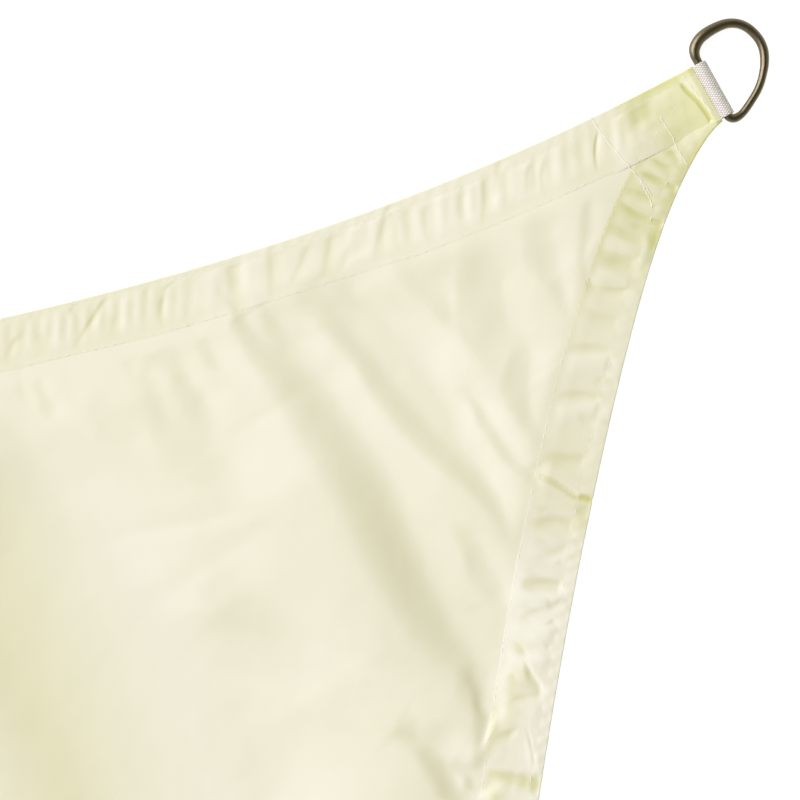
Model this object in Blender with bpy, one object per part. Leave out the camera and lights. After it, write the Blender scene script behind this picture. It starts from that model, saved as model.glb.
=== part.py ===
"""Square shade sail, laid out flat with its hems uppermost.

The cloth is one panel with four edges that curve inwards. Each edge is turned over into a 40 mm
hem, and the hems of neighbouring edges overlap at the corners. From each corner's narrow neck a
short loop of webbing comes out and holds the bar of a steel D-ring.

Units are metres and +Z is up. The sail's middle is the origin, and it lies on the plane z = 0.
The four corners are the same corner, turned by quarter turns about Z. Places at a corner are
given from the middle of its neck, as it is at the (+X, +Y) corner: across is along X and down is
along Y, so both are negative inside the sail.
"""
import math

import bmesh
import bpy
import numpy as np
from mathutils import Matrix, Vector
from mathutils.geometry import delaunay_2d_cdt

# ---- driving dimensions -------------------------------------------------------------------
CORNER = 0.968              # from the sail's middle to the middle of a neck, along X and along Y
SAG = 0.168                 # how far each edge curves in at mid-span
NECK_HALF = 0.0195          # half of a neck's width
NECK_TURN = math.radians(27.1)  # direction in which a neck points, from the across axis

CLOTH = 0.0012              # one layer of cloth, at the least thickness of a solid sheet
HEM_WIDTH = 0.040
HEM_LAYER = 0.0009          # what the turned layer adds
HEM_STEP = 0.0015           # half the width of the ramp at the hem's inner edge
NECK_HEIGHT = 0.0070        # the neck swells to this height over the webbing's two legs
NECK_TAPER = 0.028          # distance over which the swelling dies out

LOFT = 0.0055               # the cloth stands this far off the ground near the corners
LOFT_REACH = (0.50, 0.80)   # full inside the first distance from a corner, gone by the second
LOFT_EDGE = 0.070           # it falls back to the ground over this width along the edges

# The webbing is 38 mm wide where it is sewn in. The ring's foot crowds its lower edge, so the loop
# reaches from the first to the second of these along the neck.
WEB_SPAN = (-0.0190, 0.0179)
WEB_THICK = 0.0012
GAP = 0.0003                # clearance between pieces
WIRE = 0.0060               # diameter of the D-ring's wire
BAR_OUT = 0.0045            # the ring's bar, measured out from the neck's face

# The top edge's rise above mid-span at t, its distance from mid-span over CORNER, is
# a * t**2 + b * t**p. The two halves differ: one eases in slowly and the other turns up late.
EDGE_HALVES = {"early": (0.1365, 0.0534, 4), "late": (0.1606, 0.0303, 24)}
LATE_FLARE = 0.0022         # the late half flares out a little more in its last millimetres
FLARE_LENGTH = 0.004

# Middle line of the D-ring's wire in its own plane, in millimetres: along the neck, and out from
# the bar. The bow leans towards the neck's upper end, and the lower end has a tight foot.
RING_BOW = (
    # along, out
    (17.6, 0.0),
    (19.7, 0.7),
    (21.2, 2.7),
    (21.5, 5.7),
    (20.9, 8.8),
    (19.6, 12.0),
    (17.2, 16.8),
    (13.8, 22.8),
    (10.1, 27.6),
    (5.8, 31.8),
    (0.6, 35.8),
    (-6.4, 39.2),
    (-13.6, 40.1),
    (-20.8, 38.6),
    (-26.2, 35.8),
    (-30.0, 31.8),
    (-32.5, 26.4),
    (-33.4, 19.4),
    (-33.1, 12.4),
    (-31.7, 7.0),
    (-28.6, 2.5),
    (-24.6, 0.4),
    (-20.5, 0.0),
)
RING_STEPS = 2              # mesh stations for each span of the bow
WIRE_SIDES_RESOLUTION = 2   # makes a wire of 8 sides

# Folds of the panel at the corner, in millimetres. Each is a valley from start to end that bows
# to the side by "bow" at its middle. "near" and "far" are the widths of its two flanks.
FOLDS = (
    # across, down, across, down, bow, near, far, depth
    (-288.0, -126.0, -140.0, -372.0, 9.0, 15.0, 15.0, 5.0),
    (-236.0, -108.0, -127.0, -259.0, -2.0, 9.0, 11.0, 3.2),
    (-152.0, -88.0, -108.0, -200.0, -2.0, 9.0, 10.0, 2.2),
    (-560.0, -215.0, -250.0, -540.0, 4.0, 34.0, 30.0, 4.6),
    (-237.0, -396.0, -158.0, -440.0, 26.0, 10.0, 14.0, 3.0),
    (-157.0, -163.0, -117.0, -228.0, -7.0, 4.0, 5.0, 1.8),
    (-78.0, -50.0, -80.0, -104.0, 2.0, 6.0, 6.0, 1.3),
    (-114.0, -70.0, -92.0, -134.0, -1.0, 5.0, 7.0, 1.4),
    (-462.0, -160.0, -415.0, -262.0, -3.0, 15.0, 16.0, 3.0),
    (-402.0, -168.0, -362.0, -204.0, -2.0, 9.0, 9.0, 1.5),
    (-352.0, -160.0, -292.0, -232.0, -12.0, 9.0, 11.0, 2.4),
    (-348.0, -338.0, -280.0, -338.0, 26.0, 9.0, 12.0, 1.8),
    (-164.0, -340.0, -156.0, -402.0, 8.0, 5.0, 6.0, 2.4),
    (-158.0, -268.0, -134.0, -318.0, -3.0, 6.0, 7.0, 1.6),
)
SHARED_FOLDS = 4            # the first rows are the broad folds, which the other corners have too
CORNER_FOLD_SIZE = (1.0, 1.12, 0.92, 1.2)   # how long they run at each corner

# Long low waves of the panel between the corners, in millimetres from the sail's middle, with
# the same columns, but raised.
WAVES = (
    # x, y, x, y, bow, near, far, height
    (-570.0, 480.0, -110.0, 140.0, 30.0, 40.0, 60.0, 6.0),
    (-430.0, 620.0, 240.0, 480.0, -45.0, 35.0, 50.0, 5.0),
    (160.0, -110.0, 590.0, -480.0, -35.0, 45.0, 60.0, 6.0),
    (-600.0, -320.0, -150.0, -580.0, 40.0, 40.0, 55.0, 5.0),
    (-650.0, 240.0, -590.0, -230.0, 35.0, 35.0, 45.0, 4.0),
    (-210.0, -190.0, 330.0, -620.0, 30.0, 40.0, 50.0, 5.0),
    (430.0, 160.0, 650.0, -210.0, -20.0, 35.0, 40.0, 4.0),
)

# Puckers of the hems: alternate ridges and troughs across the hem.
PUCKER_ROWS = (0.013, 0.027)    # where their points lie, from the cloth's edge
PUCKER_HEIGHT = 0.0011
PUCKER_PITCH = (0.0075, 0.030)  # ridge to trough by the first corner, and far from it
PUCKER_REACH = 0.46             # length of edge that has the fine pitch

GRID_PITCH = (0.040, 0.085)     # spacing of the panel's own points near that corner and far off
FOLD_SIDES = (0.0, -1.0, 1.0, -2.0, 2.0)    # a fold's rows of points, in flank widths
NECK_ROWS = (-0.005, -0.012, -0.020, -0.028)    # rows of points on the swelling of a neck
NECK_SIDES = (-0.012, 0.0, 0.012)


# ---- the shape of the edges ---------------------------------------------------------------
def turn(x, y, quarter):
    """Turn points clockwise about the origin by quarter turns."""
    for _ in range(quarter % 4):
        x, y = y, -x
    return x, y


def edge_line(x):
    """Height y of the top edge over x, and its slope."""
    t = np.clip(np.abs(x) / CORNER, 0.0, 1.02)
    rise = np.zeros_like(t)
    slope = np.zeros_like(t)
    for name, half in (("early", x >= 0.0), ("late", x < 0.0)):
        a, b, p = EDGE_HALVES[name]
        rise = np.where(half, a * t**2 + b * t**p, rise)
        slope = np.where(half, (2 * a * t + p * b * t**(p - 1)) * np.sign(x) / CORNER, slope)
    neck_end = CORNER - NECK_HALF * math.cos(NECK_TURN)
    flare = LATE_FLARE * np.exp(np.minimum(-x - neck_end, 0.0) / FLARE_LENGTH)
    return CORNER - SAG + rise + np.where(x < 0.0, flare, 0.0), slope


def edge_distances(x, y):
    """Distance in from each of the four edges, top, right, bottom and left."""
    found = []
    for quarter in range(4):
        along, height = turn(x, y, -quarter)
        line, slope = edge_line(along)
        found.append((line - height) / np.sqrt(1.0 + slope**2))
    return np.array(found)


def soft_step(value):
    """Rise smoothly from 0 to 1 as value goes from 0 to 1."""
    value = np.clip(value, 0.0, 1.0)
    return value * value * (3.0 - 2.0 * value)


def neck_frame(across, down):
    """Distances out from a neck's face and along it, for places given from its middle."""
    cos, sin = math.cos(NECK_TURN), math.sin(NECK_TURN)
    return across * cos + down * sin, across * sin - down * cos


# ---- the lie of the cloth -----------------------------------------------------------------
def fold_relief(x, y, rows, size=1.0):
    """Sum of the folds in a table: a bell curve across each, dying out towards its two ends."""
    relief = np.zeros_like(x)
    for x0, y0, x1, y1, bow, near, far, deep in rows:
        start = np.array((x0, y0)) * size / 1000.0
        run = np.array((x1, y1)) * size / 1000.0 - start
        length = np.hypot(*run)
        along = ((x - start[0]) * run[0] + (y - start[1]) * run[1]) / length**2
        bend = 4.0 * np.clip(along, 0.0, 1.0) * (1.0 - np.clip(along, 0.0, 1.0))
        side = ((y - start[1]) * run[0] - (x - start[0]) * run[1]) / length - bow * bend / 1000.0
        flank = np.where(side < 0.0, near, far) / 1000.0
        relief = relief + deep / 1000.0 * bend * np.exp(-(side / flank)**2)
    return relief


def corner_rows(quarter):
    """The folds that a corner has: all at the first, and the broad ones at the others."""
    return FOLDS if quarter == 0 else FOLDS[:SHARED_FOLDS]


def underside(x, y):
    """Height of the cloth's lower face: its long waves, or its loft at a corner less the valleys."""
    inwards = edge_distances(x, y).min(axis=0)
    height = fold_relief(x, y, WAVES) * soft_step(inwards / LOFT_EDGE)
    for quarter in range(4):
        across, down = turn(x, y, -quarter)
        across, down = across - CORNER, down - CORNER
        size = CORNER_FOLD_SIZE[quarter]
        away = (np.hypot(across, down) / size - LOFT_REACH[0]) / (LOFT_REACH[1] - LOFT_REACH[0])
        loft = LOFT * (1.0 - soft_step(away)) * soft_step(inwards / LOFT_EDGE)
        valleys = fold_relief(across, down, corner_rows(quarter), size)
        height = np.maximum(height, loft - valleys)
    return height


def thickness(x, y):
    """Thickness of the sheet: one layer, one more in each hem, and the swelling at the necks."""
    inwards = edge_distances(x, y)
    layers = np.clip((HEM_WIDTH + HEM_STEP - inwards) / (2.0 * HEM_STEP), 0.0, 1.0).sum(axis=0)
    thick = CLOTH + HEM_LAYER * layers
    for quarter in range(4):
        across, down = turn(x, y, -quarter)
        out, _ = neck_frame(across - CORNER, down - CORNER)
        swelling = np.clip(1.0 + out / NECK_TAPER, 0.0, 1.0)**2
        thick = thick + (NECK_HEIGHT - thick) * swelling
    return thick


# ---- points of the cloth's mesh -----------------------------------------------------------
def stations(quarter):
    """Places along an edge, from its left end, close together by the first corner."""
    left = -(CORNER - NECK_HALF * math.cos(NECK_TURN))
    right = CORNER - NECK_HALF * math.sin(NECK_TURN)
    from_corner = 0.0
    places = [0.0]
    total = right - left
    while from_corner < total - PUCKER_PITCH[0]:
        fine = quarter < 2 and from_corner < PUCKER_REACH
        from_corner += PUCKER_PITCH[0] if fine else PUCKER_PITCH[1]
        places.append(from_corner)
    places = np.array(places) * total / places[-1]
    return left + places if quarter == 1 else right - places[::-1]


def edge_row(quarter, along, inset):
    """Points a given distance in from an edge, at places along it."""
    line, slope = edge_line(along)
    steep = np.sqrt(1.0 + slope**2)
    return turn(along + inset * slope / steep, line - inset / steep, quarter)


def uneven(index, size):
    """A fixed uneven number from 0.45 to 1 for each index."""
    return 0.45 + 0.55 * (0.5 + 0.5 * np.sin(index * 2.4 + 1.7 * size + 3.0 * np.sin(index * 0.9)))


def far_enough(kept, new, apart):
    """Those of the new points that lie at least this far from the kept ones and each other."""
    chosen = []
    for point in new:
        others = kept if not chosen else np.vstack((kept, chosen))
        if np.hypot(*(others - point).T).min() >= apart:
            chosen.append(point)
    return np.array(chosen).reshape(-1, 2)


def fold_points(rows, size=1.0):
    """Points along each fold of a table: its middle line and rows down both flanks."""
    found = []
    for x0, y0, x1, y1, bow, near, far, _ in rows:
        start = np.array((x0, y0)) * size / 1000.0
        run = np.array((x1, y1)) * size / 1000.0 - start
        length = np.hypot(*run)
        count = 2 + math.ceil(length / (0.012 + 0.0007 * (near + far)))
        share = np.linspace(0.0, 1.0, count)[:, None]
        beside = np.array((-run[1], run[0])) / length
        middle = start + share * run + bow / 1000.0 * 4.0 * share * (1.0 - share) * beside
        for side in FOLD_SIDES:
            found.append(middle + side * (near if side < 0.0 else far) / 1000.0 * beside)
    return np.vstack(found)


def corner_points(quarter):
    """Points along a corner's folds, and on the swelling of its neck."""
    folds = fold_points(corner_rows(quarter), CORNER_FOLD_SIZE[quarter])
    out, along = np.meshgrid(NECK_ROWS, NECK_SIDES)
    cos, sin = math.cos(NECK_TURN), math.sin(NECK_TURN)
    neck = np.stack((out * cos + along * sin, out * sin - along * cos), axis=-1).reshape(-1, 2)
    return [np.stack(turn(*(places + CORNER).T, quarter), axis=1) for places in (neck, folds)]


def grid_points():
    """The panel's own points, on lines that spread out away from the first corner."""
    lines = [CORNER]
    while lines[-1] > -CORNER:
        near = CORNER - lines[-1] < LOFT_REACH[0]
        lines.append(lines[-1] - (GRID_PITCH[0] if near else GRID_PITCH[1]))
    x, y = np.meshgrid(lines, lines)
    return np.stack((x.ravel(), y.ravel()), axis=1)


def cloth_plan():
    """The cloth seen from above: points, their pucker lift, and the lines that meshing keeps."""
    outline = []
    pucker_points = []
    pucker_lift = []
    ramps = []
    for quarter in range(4):
        along = stations(quarter)
        outline.append(np.stack(edge_row(quarter, along[::2], 0.0), axis=1))
        if along.size % 2 == 0:
            outline.append(np.stack(edge_row(quarter, along[-1:], 0.0), axis=1))
        index = np.arange(along.size)
        for inset in PUCKER_ROWS:
            row = np.stack(edge_row(quarter, along, inset), axis=1)
            others = np.delete(edge_distances(*row.T), quarter, axis=0).min(axis=0)
            free = others > HEM_WIDTH + 3.0 * HEM_STEP
            pucker_points.append(row[free])
            pucker_lift.append((PUCKER_HEIGHT * (index % 2) * uneven(index, inset * 99.0))[free])
        for inset in (HEM_WIDTH - HEM_STEP, HEM_WIDTH + HEM_STEP):
            row = np.stack(edge_row(quarter, along[::2], inset), axis=1)
            others = np.delete(edge_distances(*row.T), quarter, axis=0).min(axis=0)
            ramps.append(row[others > 2.0 * HEM_STEP])
    points = [np.vstack(outline)]
    count = len(points[0])
    lines = [(i, (i + 1) % count) for i in range(count)]
    for ramp in ramps:
        lines += [(count + i, count + i + 1) for i in range(len(ramp) - 1)]
        points.append(ramp)
        count += len(ramp)
    lift = [np.zeros(count)] + pucker_lift
    points += pucker_points
    kept = np.vstack(points)
    at_corners = [corner_points(quarter) for quarter in range(4)]
    necks = np.vstack([neck for neck, _ in at_corners])
    folds = np.vstack([folds for _, folds in at_corners])
    panel_edge = HEM_WIDTH + 4.0 * HEM_STEP
    for new, inset, apart in ((necks, 0.004, 0.004), (folds, panel_edge, 0.0065),
                              (fold_points(WAVES), panel_edge, 0.022),
                              (grid_points(), panel_edge, 0.026)):
        inside = edge_distances(*new.T).min(axis=0) > inset
        new = far_enough(kept, new[inside], apart)
        kept = np.vstack((kept, new))
        lift.append(np.zeros(len(new)))
    return kept, np.concatenate(lift), lines


# ---- making objects -----------------------------------------------------------------------
def material(name, colour, roughness, metallic=0.0):
    made = bpy.data.materials.new(name)
    made.use_nodes = True
    shader = made.node_tree.nodes["Principled BSDF"]
    shader.inputs["Base Color"].default_value = (*colour, 1.0)
    shader.inputs["Roughness"].default_value = roughness
    shader.inputs["Metallic"].default_value = metallic
    return made


def add_object(name, data, finish):
    made = bpy.data.objects.new(name, data)
    made.data.materials.append(finish)
    bpy.context.scene.collection.objects.link(made)
    return made


def neck_matrix(quarter):
    """Places a corner's fittings: X runs along the neck, Y out from its face, Z up."""
    cos, sin = math.cos(NECK_TURN), math.sin(NECK_TURN)
    frame = Matrix(((sin, cos, 0.0, CORNER), (-cos, sin, 0.0, CORNER), (0.0, 0.0, 1.0, 0.0),
                    (0.0, 0.0, 0.0, 1.0)))
    return Matrix.Rotation(-0.5 * math.pi * quarter, 4, "Z") @ frame


def make_cloth(finish):
    """One closed sheet: the same triangles below and above, joined by a wall at the outline."""
    plan, lift, lines = cloth_plan()
    flat, _, faces, origins, _, _ = delaunay_2d_cdt([Vector(p) for p in plan], lines, [], 1, 1e-6)
    flat = np.array([tuple(p) for p in flat])
    puckers = np.array([lift[found[0]] if found else 0.0 for found in origins])
    low = underside(*flat.T) + puckers
    high = low + thickness(*flat.T)
    count = len(flat)
    below = [tuple(reversed(face)) for face in faces]
    above = [tuple(i + count for i in face) for face in faces]
    borders = {(face[i], face[(i + 1) % len(face)]) for face in faces for i in range(len(face))}
    wall = [(a, b, b + count, a + count) for a, b in sorted(borders) if (b, a) not in borders]
    mesh = bpy.data.meshes.new("sail_cloth")
    mesh.from_pydata(np.column_stack((np.vstack((flat, flat)), np.concatenate((low, high)))),
                     [], below + above + wall)
    mesh.shade_smooth()
    mesh.set_sharp_from_angle(angle=math.radians(50.0))
    return add_object("sail_cloth", mesh, finish)


def webbing_section():
    """Side view of a loop, out from the neck and up: a strap that passes round the ring's bar."""
    outer = 0.5 * WIRE + GAP + WEB_THICK
    inner = outer - WEB_THICK
    neck_top = NECK_HEIGHT
    turns = [math.radians(a) for a in range(-90, 91, 15)]
    outside = [(GAP, 0.0)] + [(BAR_OUT + outer * math.cos(a), outer + outer * math.sin(a))
                              for a in turns] + [(GAP, neck_top)]
    inside = [(GAP, WEB_THICK)] + [(BAR_OUT + inner * math.cos(a), outer + inner * math.sin(a))
                                   for a in turns] + [(GAP, neck_top - WEB_THICK)]
    return outside, inside


def make_webbing(quarter, finish):
    """The loop's section drawn out along the neck."""
    outside, inside = webbing_section()
    section = outside + inside[::-1]
    count = len(section)
    mesh = bmesh.new()
    ends = [[mesh.verts.new((side, out, up)) for out, up in section] for side in WEB_SPAN]
    strips = len(outside) - 1
    for end in ends:
        for i in range(strips):
            mesh.faces.new((end[i], end[i + 1], end[count - 2 - i], end[count - 1 - i]))
    for i in range(count):
        j = (i + 1) % count
        mesh.faces.new((ends[0][i], ends[0][j], ends[1][j], ends[1][i]))
    bmesh.ops.recalc_face_normals(mesh, faces=mesh.faces)
    mesh.transform(neck_matrix(quarter))
    data = bpy.data.meshes.new(f"webbing_{quarter + 1}")
    mesh.to_mesh(data)
    mesh.free()
    data.shade_smooth()
    data.set_sharp_from_angle(angle=math.radians(40.0))
    return add_object(data.name, data, finish)


def ring_path():
    """The wire's middle line: a straight bar, and a smooth curve through the bow's points."""
    bow = np.array(RING_BOW) / 1000.0
    ends = np.vstack((bow[0] + (-0.006, 0.0), bow, bow[-1] + (0.006, 0.0)))
    share = np.linspace(0.0, 1.0, RING_STEPS, endpoint=False)[:, None]
    path = []
    for a, b, c, d in zip(ends, ends[1:], ends[2:], ends[3:]):
        path.append(0.5 * (2.0 * b + (c - a) * share + (2.0 * a - 5.0 * b + 4.0 * c - d) * share**2
                           + (3.0 * b - a - 3.0 * c + d) * share**3))
    path.append(bow[-1:])
    bar = np.linspace(bow[-1], bow[0], 6)[1:-1]
    return np.vstack(path + [bar])


def make_ring(quarter, finish):
    """Bent wire, closed on itself. Its bar is lifted by the webbing and its bow lies down."""
    path = ring_path()
    bar_up = 0.5 * WIRE + GAP + WEB_THICK
    bow_up = 0.5 * WIRE
    up = bar_up + (bow_up - bar_up) * path[:, 1] / path[:, 1].max()
    curve = bpy.data.curves.new(f"ring_{quarter + 1}", "CURVE")
    curve.dimensions = "3D"
    curve.bevel_depth = 0.5 * WIRE
    curve.bevel_resolution = WIRE_SIDES_RESOLUTION
    spline = curve.splines.new("POLY")
    spline.points.add(len(path) - 1)
    spline.use_cyclic_u = True
    frame = neck_matrix(quarter)
    for point, (along, out), height in zip(spline.points, path, up):
        place = frame @ Vector((along, out + BAR_OUT, height))
        point.co = (*place, 1.0)
    spline.use_smooth = True
    return add_object(curve.name, curve, finish)


for old in list(bpy.data.objects):
    bpy.data.objects.remove(old, do_unlink=True)

cream_cloth = material("cream_cloth", (0.868, 0.838, 0.680), 0.55)
white_webbing = material("white_webbing", (0.80, 0.77, 0.76), 0.75)
ring_steel = material("ring_steel", (0.50, 0.48, 0.43), 0.18, metallic=1.0)

make_cloth(cream_cloth)
for corner in range(4):
    make_webbing(corner, white_webbing)
    make_ring(corner, ring_steel)
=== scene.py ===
import math

import bpy
import numpy as np
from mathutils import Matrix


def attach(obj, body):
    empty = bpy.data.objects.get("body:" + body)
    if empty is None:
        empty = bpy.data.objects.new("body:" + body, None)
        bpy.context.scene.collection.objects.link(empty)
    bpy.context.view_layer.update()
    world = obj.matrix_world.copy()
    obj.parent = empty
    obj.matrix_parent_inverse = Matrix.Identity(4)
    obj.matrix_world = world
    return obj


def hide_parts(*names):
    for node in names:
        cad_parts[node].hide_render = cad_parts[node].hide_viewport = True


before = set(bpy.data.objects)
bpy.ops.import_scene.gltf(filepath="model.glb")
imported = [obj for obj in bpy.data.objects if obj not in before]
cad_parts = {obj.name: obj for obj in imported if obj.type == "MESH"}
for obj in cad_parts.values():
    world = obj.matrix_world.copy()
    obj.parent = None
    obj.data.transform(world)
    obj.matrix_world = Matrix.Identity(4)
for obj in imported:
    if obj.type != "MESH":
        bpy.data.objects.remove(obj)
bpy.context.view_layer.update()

# ---- Panel -------------------------------------
# The sail itself: one cut piece of cream coated polyester, a square whose four edges curve in.
# It lies loose, hems uppermost, with folds that fan out from the corners where it was pulled.
# Its edges are turned over into the hems, so the panel's own rim ends inside them.

# All four edges and corners are the top edge and the (+X, +Y) corner, turned by quarter turns.
# An edge is followed from left to right: its left half turns up late, its right half early.
CORNER = 0.968              # from the sail's middle to the middle of a neck, along X and Y
SAG = 0.168                 # how far an edge curves in at mid-span
NECK_HALF = 0.0195          # half of the width of a corner's neck
NECK_TURN = math.radians(27.1)
NECK_COS, NECK_SIN = math.cos(NECK_TURN), math.sin(NECK_TURN)
MM = 0.001


def turned(x, y, quarter):
    """Points turned clockwise about the sail's middle by quarter turns."""
    for _ in range(quarter % 4):
        x, y = y, -x
    return x, y


def soft_step(value):
    """3 v^2 - 2 v^3, rising smoothly from 0 to 1 as v goes from 0 to 1."""
    value = np.clip(value, 0, 1)
    return value * value * (3 - 2 * value)


def bell(value):
    """exp(-v^2): 1 at v = 0, and next to nothing beyond v = 2."""
    return np.exp(-value**2)


def arc_lengths(x, y):
    """Distances along a line through points, from its first point."""
    return np.append(0, np.cumsum(np.hypot(np.diff(x), np.diff(y))))


def unit(vectors):
    """Rows of vectors, each divided by its length."""
    return vectors / np.linalg.norm(vectors, axis=1)[:, None]


def edge_line(x):
    """The top edge's height over x and its slope. With t = |x| / CORNER the height is
    CORNER - SAG + a t^2 + b t^p, and the left end flares by 2.2 mm in its last millimetres."""
    t = np.clip(np.abs(x) / CORNER, 0, 1.02)
    a = np.where(x >= 0, 0.1365, 0.1606)
    b = np.where(x >= 0, 0.0534, 0.0303)
    p = np.where(x >= 0.0, 4.0, 24.0)
    slope = (2 * a * t + p * b * t**(p - 1)) * np.sign(x) / CORNER
    flare = 0.0022 * np.exp(np.minimum(-x - CORNER + NECK_HALF * NECK_COS, 0) / 0.004)
    return CORNER - SAG + a * t**2 + b * t**p + np.where(x < 0, flare, 0), slope


EDGE_X = np.linspace(NECK_HALF * NECK_COS - CORNER, CORNER - NECK_HALF * NECK_SIN, 8001)
EDGE_ARC = arc_lengths(EDGE_X, edge_line(EDGE_X)[0])
EDGE_LENGTH = EDGE_ARC[-1]


def to_edge(x, y, quarter):
    """The distance along an edge and the distance in from it, for points near that edge. The foot
    u of each point is found by repeating u = x - inset * slope / sqrt(1 + slope^2)."""
    x, y = turned(x, y, -quarter)
    foot = x
    for _ in range(12):
        line, slope = edge_line(foot)
        steep = np.sqrt(1 + slope**2)
        inset = (line - y) * steep
        foot = 0.5 * foot + 0.5 * (x - inset * slope / steep)
    return np.interp(foot, EDGE_X, EDGE_ARC), inset


def rim_distance(x, y):
    """How far points lie in from the nearest edge, rounded where two edges are as near: the
    distances d of all four are joined as -12 mm * log(sum of exp(-d / 12 mm))."""
    joined = np.zeros(np.shape(x))
    for quarter in range(4):
        across, height = turned(x, y, -quarter)
        line, slope = edge_line(across)
        joined = joined + np.exp(np.minimum(height - line, 0.1) / np.sqrt(1 + slope**2) / 0.012)
    return -0.012 * np.log(joined)


# The corner's folds. A fold follows a path, given in millimetres left and down from the middle of
# the neck, with its width there. Going across it, from its right to its left as one looks along it,
# the cloth drops over that width and comes up again over "spread" times the width. A skew above 1
# moves the steepest part to the left. The first rows are the broad ones that all corners have.
CORNER_FOLDS = (
    # steepness, skew, spread, then left, down, width for each point of the path
    (0.222, 1.09, 1.8, (324, 97, 6.2), (298, 122, 5.8), (295, 133, 12), (284, 148, 17),
     (265, 168, 32), (251, 190, 37), (238, 212, 40), (225, 235, 41), (212, 267, 40), (205, 283, 39),
     (192, 309, 36), (178, 330, 33), (170, 340, 31), (159, 353, 25), (157, 372, 17),
     (142, 392, 3.9), (172, 417, 3.6)),
    (0.341, 0.93, 2.2, (240, 93, 4.6), (255, 114, 19), (240, 129, 19), (217, 151, 26),
     (206, 167, 30), (194, 185, 30), (182, 201, 28), (173, 213, 24), (166, 221, 21), (148, 241, 15),
     (138, 257, 11), (131, 279, 2.1)),
    (0.167, 0.78, 1.7, (151, 75, 11), (148, 93, 22), (146, 123, 30), (143, 143, 30), (135, 163, 20),
     (128, 187, 4.3)),
    (0.096, 0.92, 1.3, (511, 272, 29), (465, 342, 91), (438, 368, 122), (422, 388, 127),
     (403, 411, 131), (376, 442, 129), (333, 491, 123), (324, 559, 30)),
    (0.251, 0.87, 2.1, (155, 171.2, 5.1), (161.7, 177.7, 5.4), (154.9, 182.3, 4.4),
     (149.7, 188, 5.8), (145.9, 196.6, 8), (139.8, 206.5, 8.1), (131.4, 220.1, 7.9),
     (123.6, 228.4, 6.7), (117.4, 233.5, 6.5), (111.3, 243.1, 2.4)),
    (0.172, 0.74, 2.6, (193, 93, 2.2), (192, 105, 8.5), (172, 121, 15), (162, 136, 12),
     (145, 154, 5.7)),
    (0.111, 0.95, 1.2, (140, 146, 2), (124, 151, 12), (126, 174, 19), (125, 185, 17),
     (118, 202, 8.8), (101, 213, 2.6)),
    (0.127, 0.7, 1.6, (125, 76, 10), (107, 87, 15), (102, 106, 14), (99, 113, 11), (91, 132, 4.5),
     (80, 137, 3.8)),
    (0.081, 1.14, 2.2, (114.9, 82.8, 3.6), (113.8, 99.7, 7.2), (109.9, 111, 3.9),
     (118.4, 112.2, 2.5)),
    (0.12, 0.76, 1.5, (76, 58.3, 4.9), (78.2, 79.9, 7.3), (80.9, 101.5, 2.4), (74.2, 124.4, 6.7)),
    (0.163, 1.5, 2.6, (285, 112, 3.2), (278, 132, 15), (272, 144, 19), (256, 163, 9.9),
     (264, 170, 6.3)),
    (0.133, 0.75, 1.3, (169, 256, 4.2), (157, 274, 11), (151, 291, 15), (143, 304, 13),
     (134, 321, 3.6)),
    (0.22, 0.93, 1.3, (161.2, 313.5, 4.5), (153.8, 316.5, 4.7), (140.5, 329, 7.2),
     (137.7, 335.3, 4.2)),
    (0.16, 0.7, 1.3, (167.3, 347.9, 9.2), (156.5, 361.4, 6), (152, 373.6, 11.6), (141.4, 390.2, 2)),
    (0.092, 0.96, 1.7, (237.8, 102.6, 5.3), (221.3, 124.3, 9.9), (208.6, 138.4, 7.1),
     (199.1, 150.3, 12.5)),
    (0.253, 0.91, 1.4, (221, 401, 5.2), (208, 393, 11), (195, 397, 11), (186, 406, 15),
     (179, 418, 16), (173, 430, 14), (165, 437, 14), (147, 451, 3.6)),
    (0.447, 1.5, 1.8, (175.9, 409.9, 5.4), (164.2, 418.3, 8.2), (156.3, 427, 11.4),
     (142.2, 428.8, 8.8)),
    (0.074, 0.7, 2.2, (303, 271, 11), (296, 301, 49), (294, 321, 64), (319, 331, 45),
     (347, 335, 20), (341, 356, 3.8)),
    (0.093, 0.72, 1.3, (488, 147, 3.5), (496, 167, 17), (459, 199, 46), (460, 260, 101),
     (456, 282, 111), (448, 319, 89), (450, 381, 26)),
    (0.066, 1.5, 1.6, (429.7, 150.2, 4), (432.1, 162, 2), (431.8, 170.2, 5.9), (426, 179.8, 4.7)),
    (0.081, 0.76, 1.7, (417.3, 157, 2.7), (419.8, 164.7, 4.6), (418.2, 170.9, 6),
     (413.2, 186.2, 7.4), (420.2, 189.6, 6.3)),
    (0.051, 0.73, 1.8, (387, 165, 3.8), (388, 183, 12), (381, 191, 14), (365, 203, 23),
     (344, 220, 9.3)),
    (0.068, 1.13, 1.6, (370.5, 151, 2.3), (366.7, 153.2, 4.4), (363.7, 157.4, 7.1),
     (360.6, 166.2, 2.1)),
    (0.077, 0.7, 2.6, (327, 141, 4.2), (340, 151, 14), (350, 154, 11), (357, 161, 11),
     (357, 176, 3.5)),
    (0.108, 1.1, 2.6, (338, 142, 6), (334, 162, 14), (331, 171, 18), (326, 180, 20), (318, 195, 15),
     (320, 206, 10)),
    (0.1, 0.98, 2.2, (337, 145, 2.6), (352, 169, 12), (348, 186, 13), (342, 200, 22),
     (328, 212, 31), (319, 219, 31), (309, 231, 31), (296, 243, 28), (273, 251, 6.3)),
    (0.094, 1.06, 2.2, (310.1, 137.2, 5.1), (317.5, 144.1, 11), (309.7, 163.2, 7.8),
     (317.9, 162.9, 3.1)),
    (0.185, 0.87, 0.5, (156.4, 367.6, 2.7), (153.4, 381.5, 10.8), (154.3, 399.6, 3.3),
     (148.3, 401.3, 2)),
)
SHARED_FOLDS = 4
CORNER_FOLD_SIZE = (1, 1.12, 0.92, 1.2)   # how long they run at each corner

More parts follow.
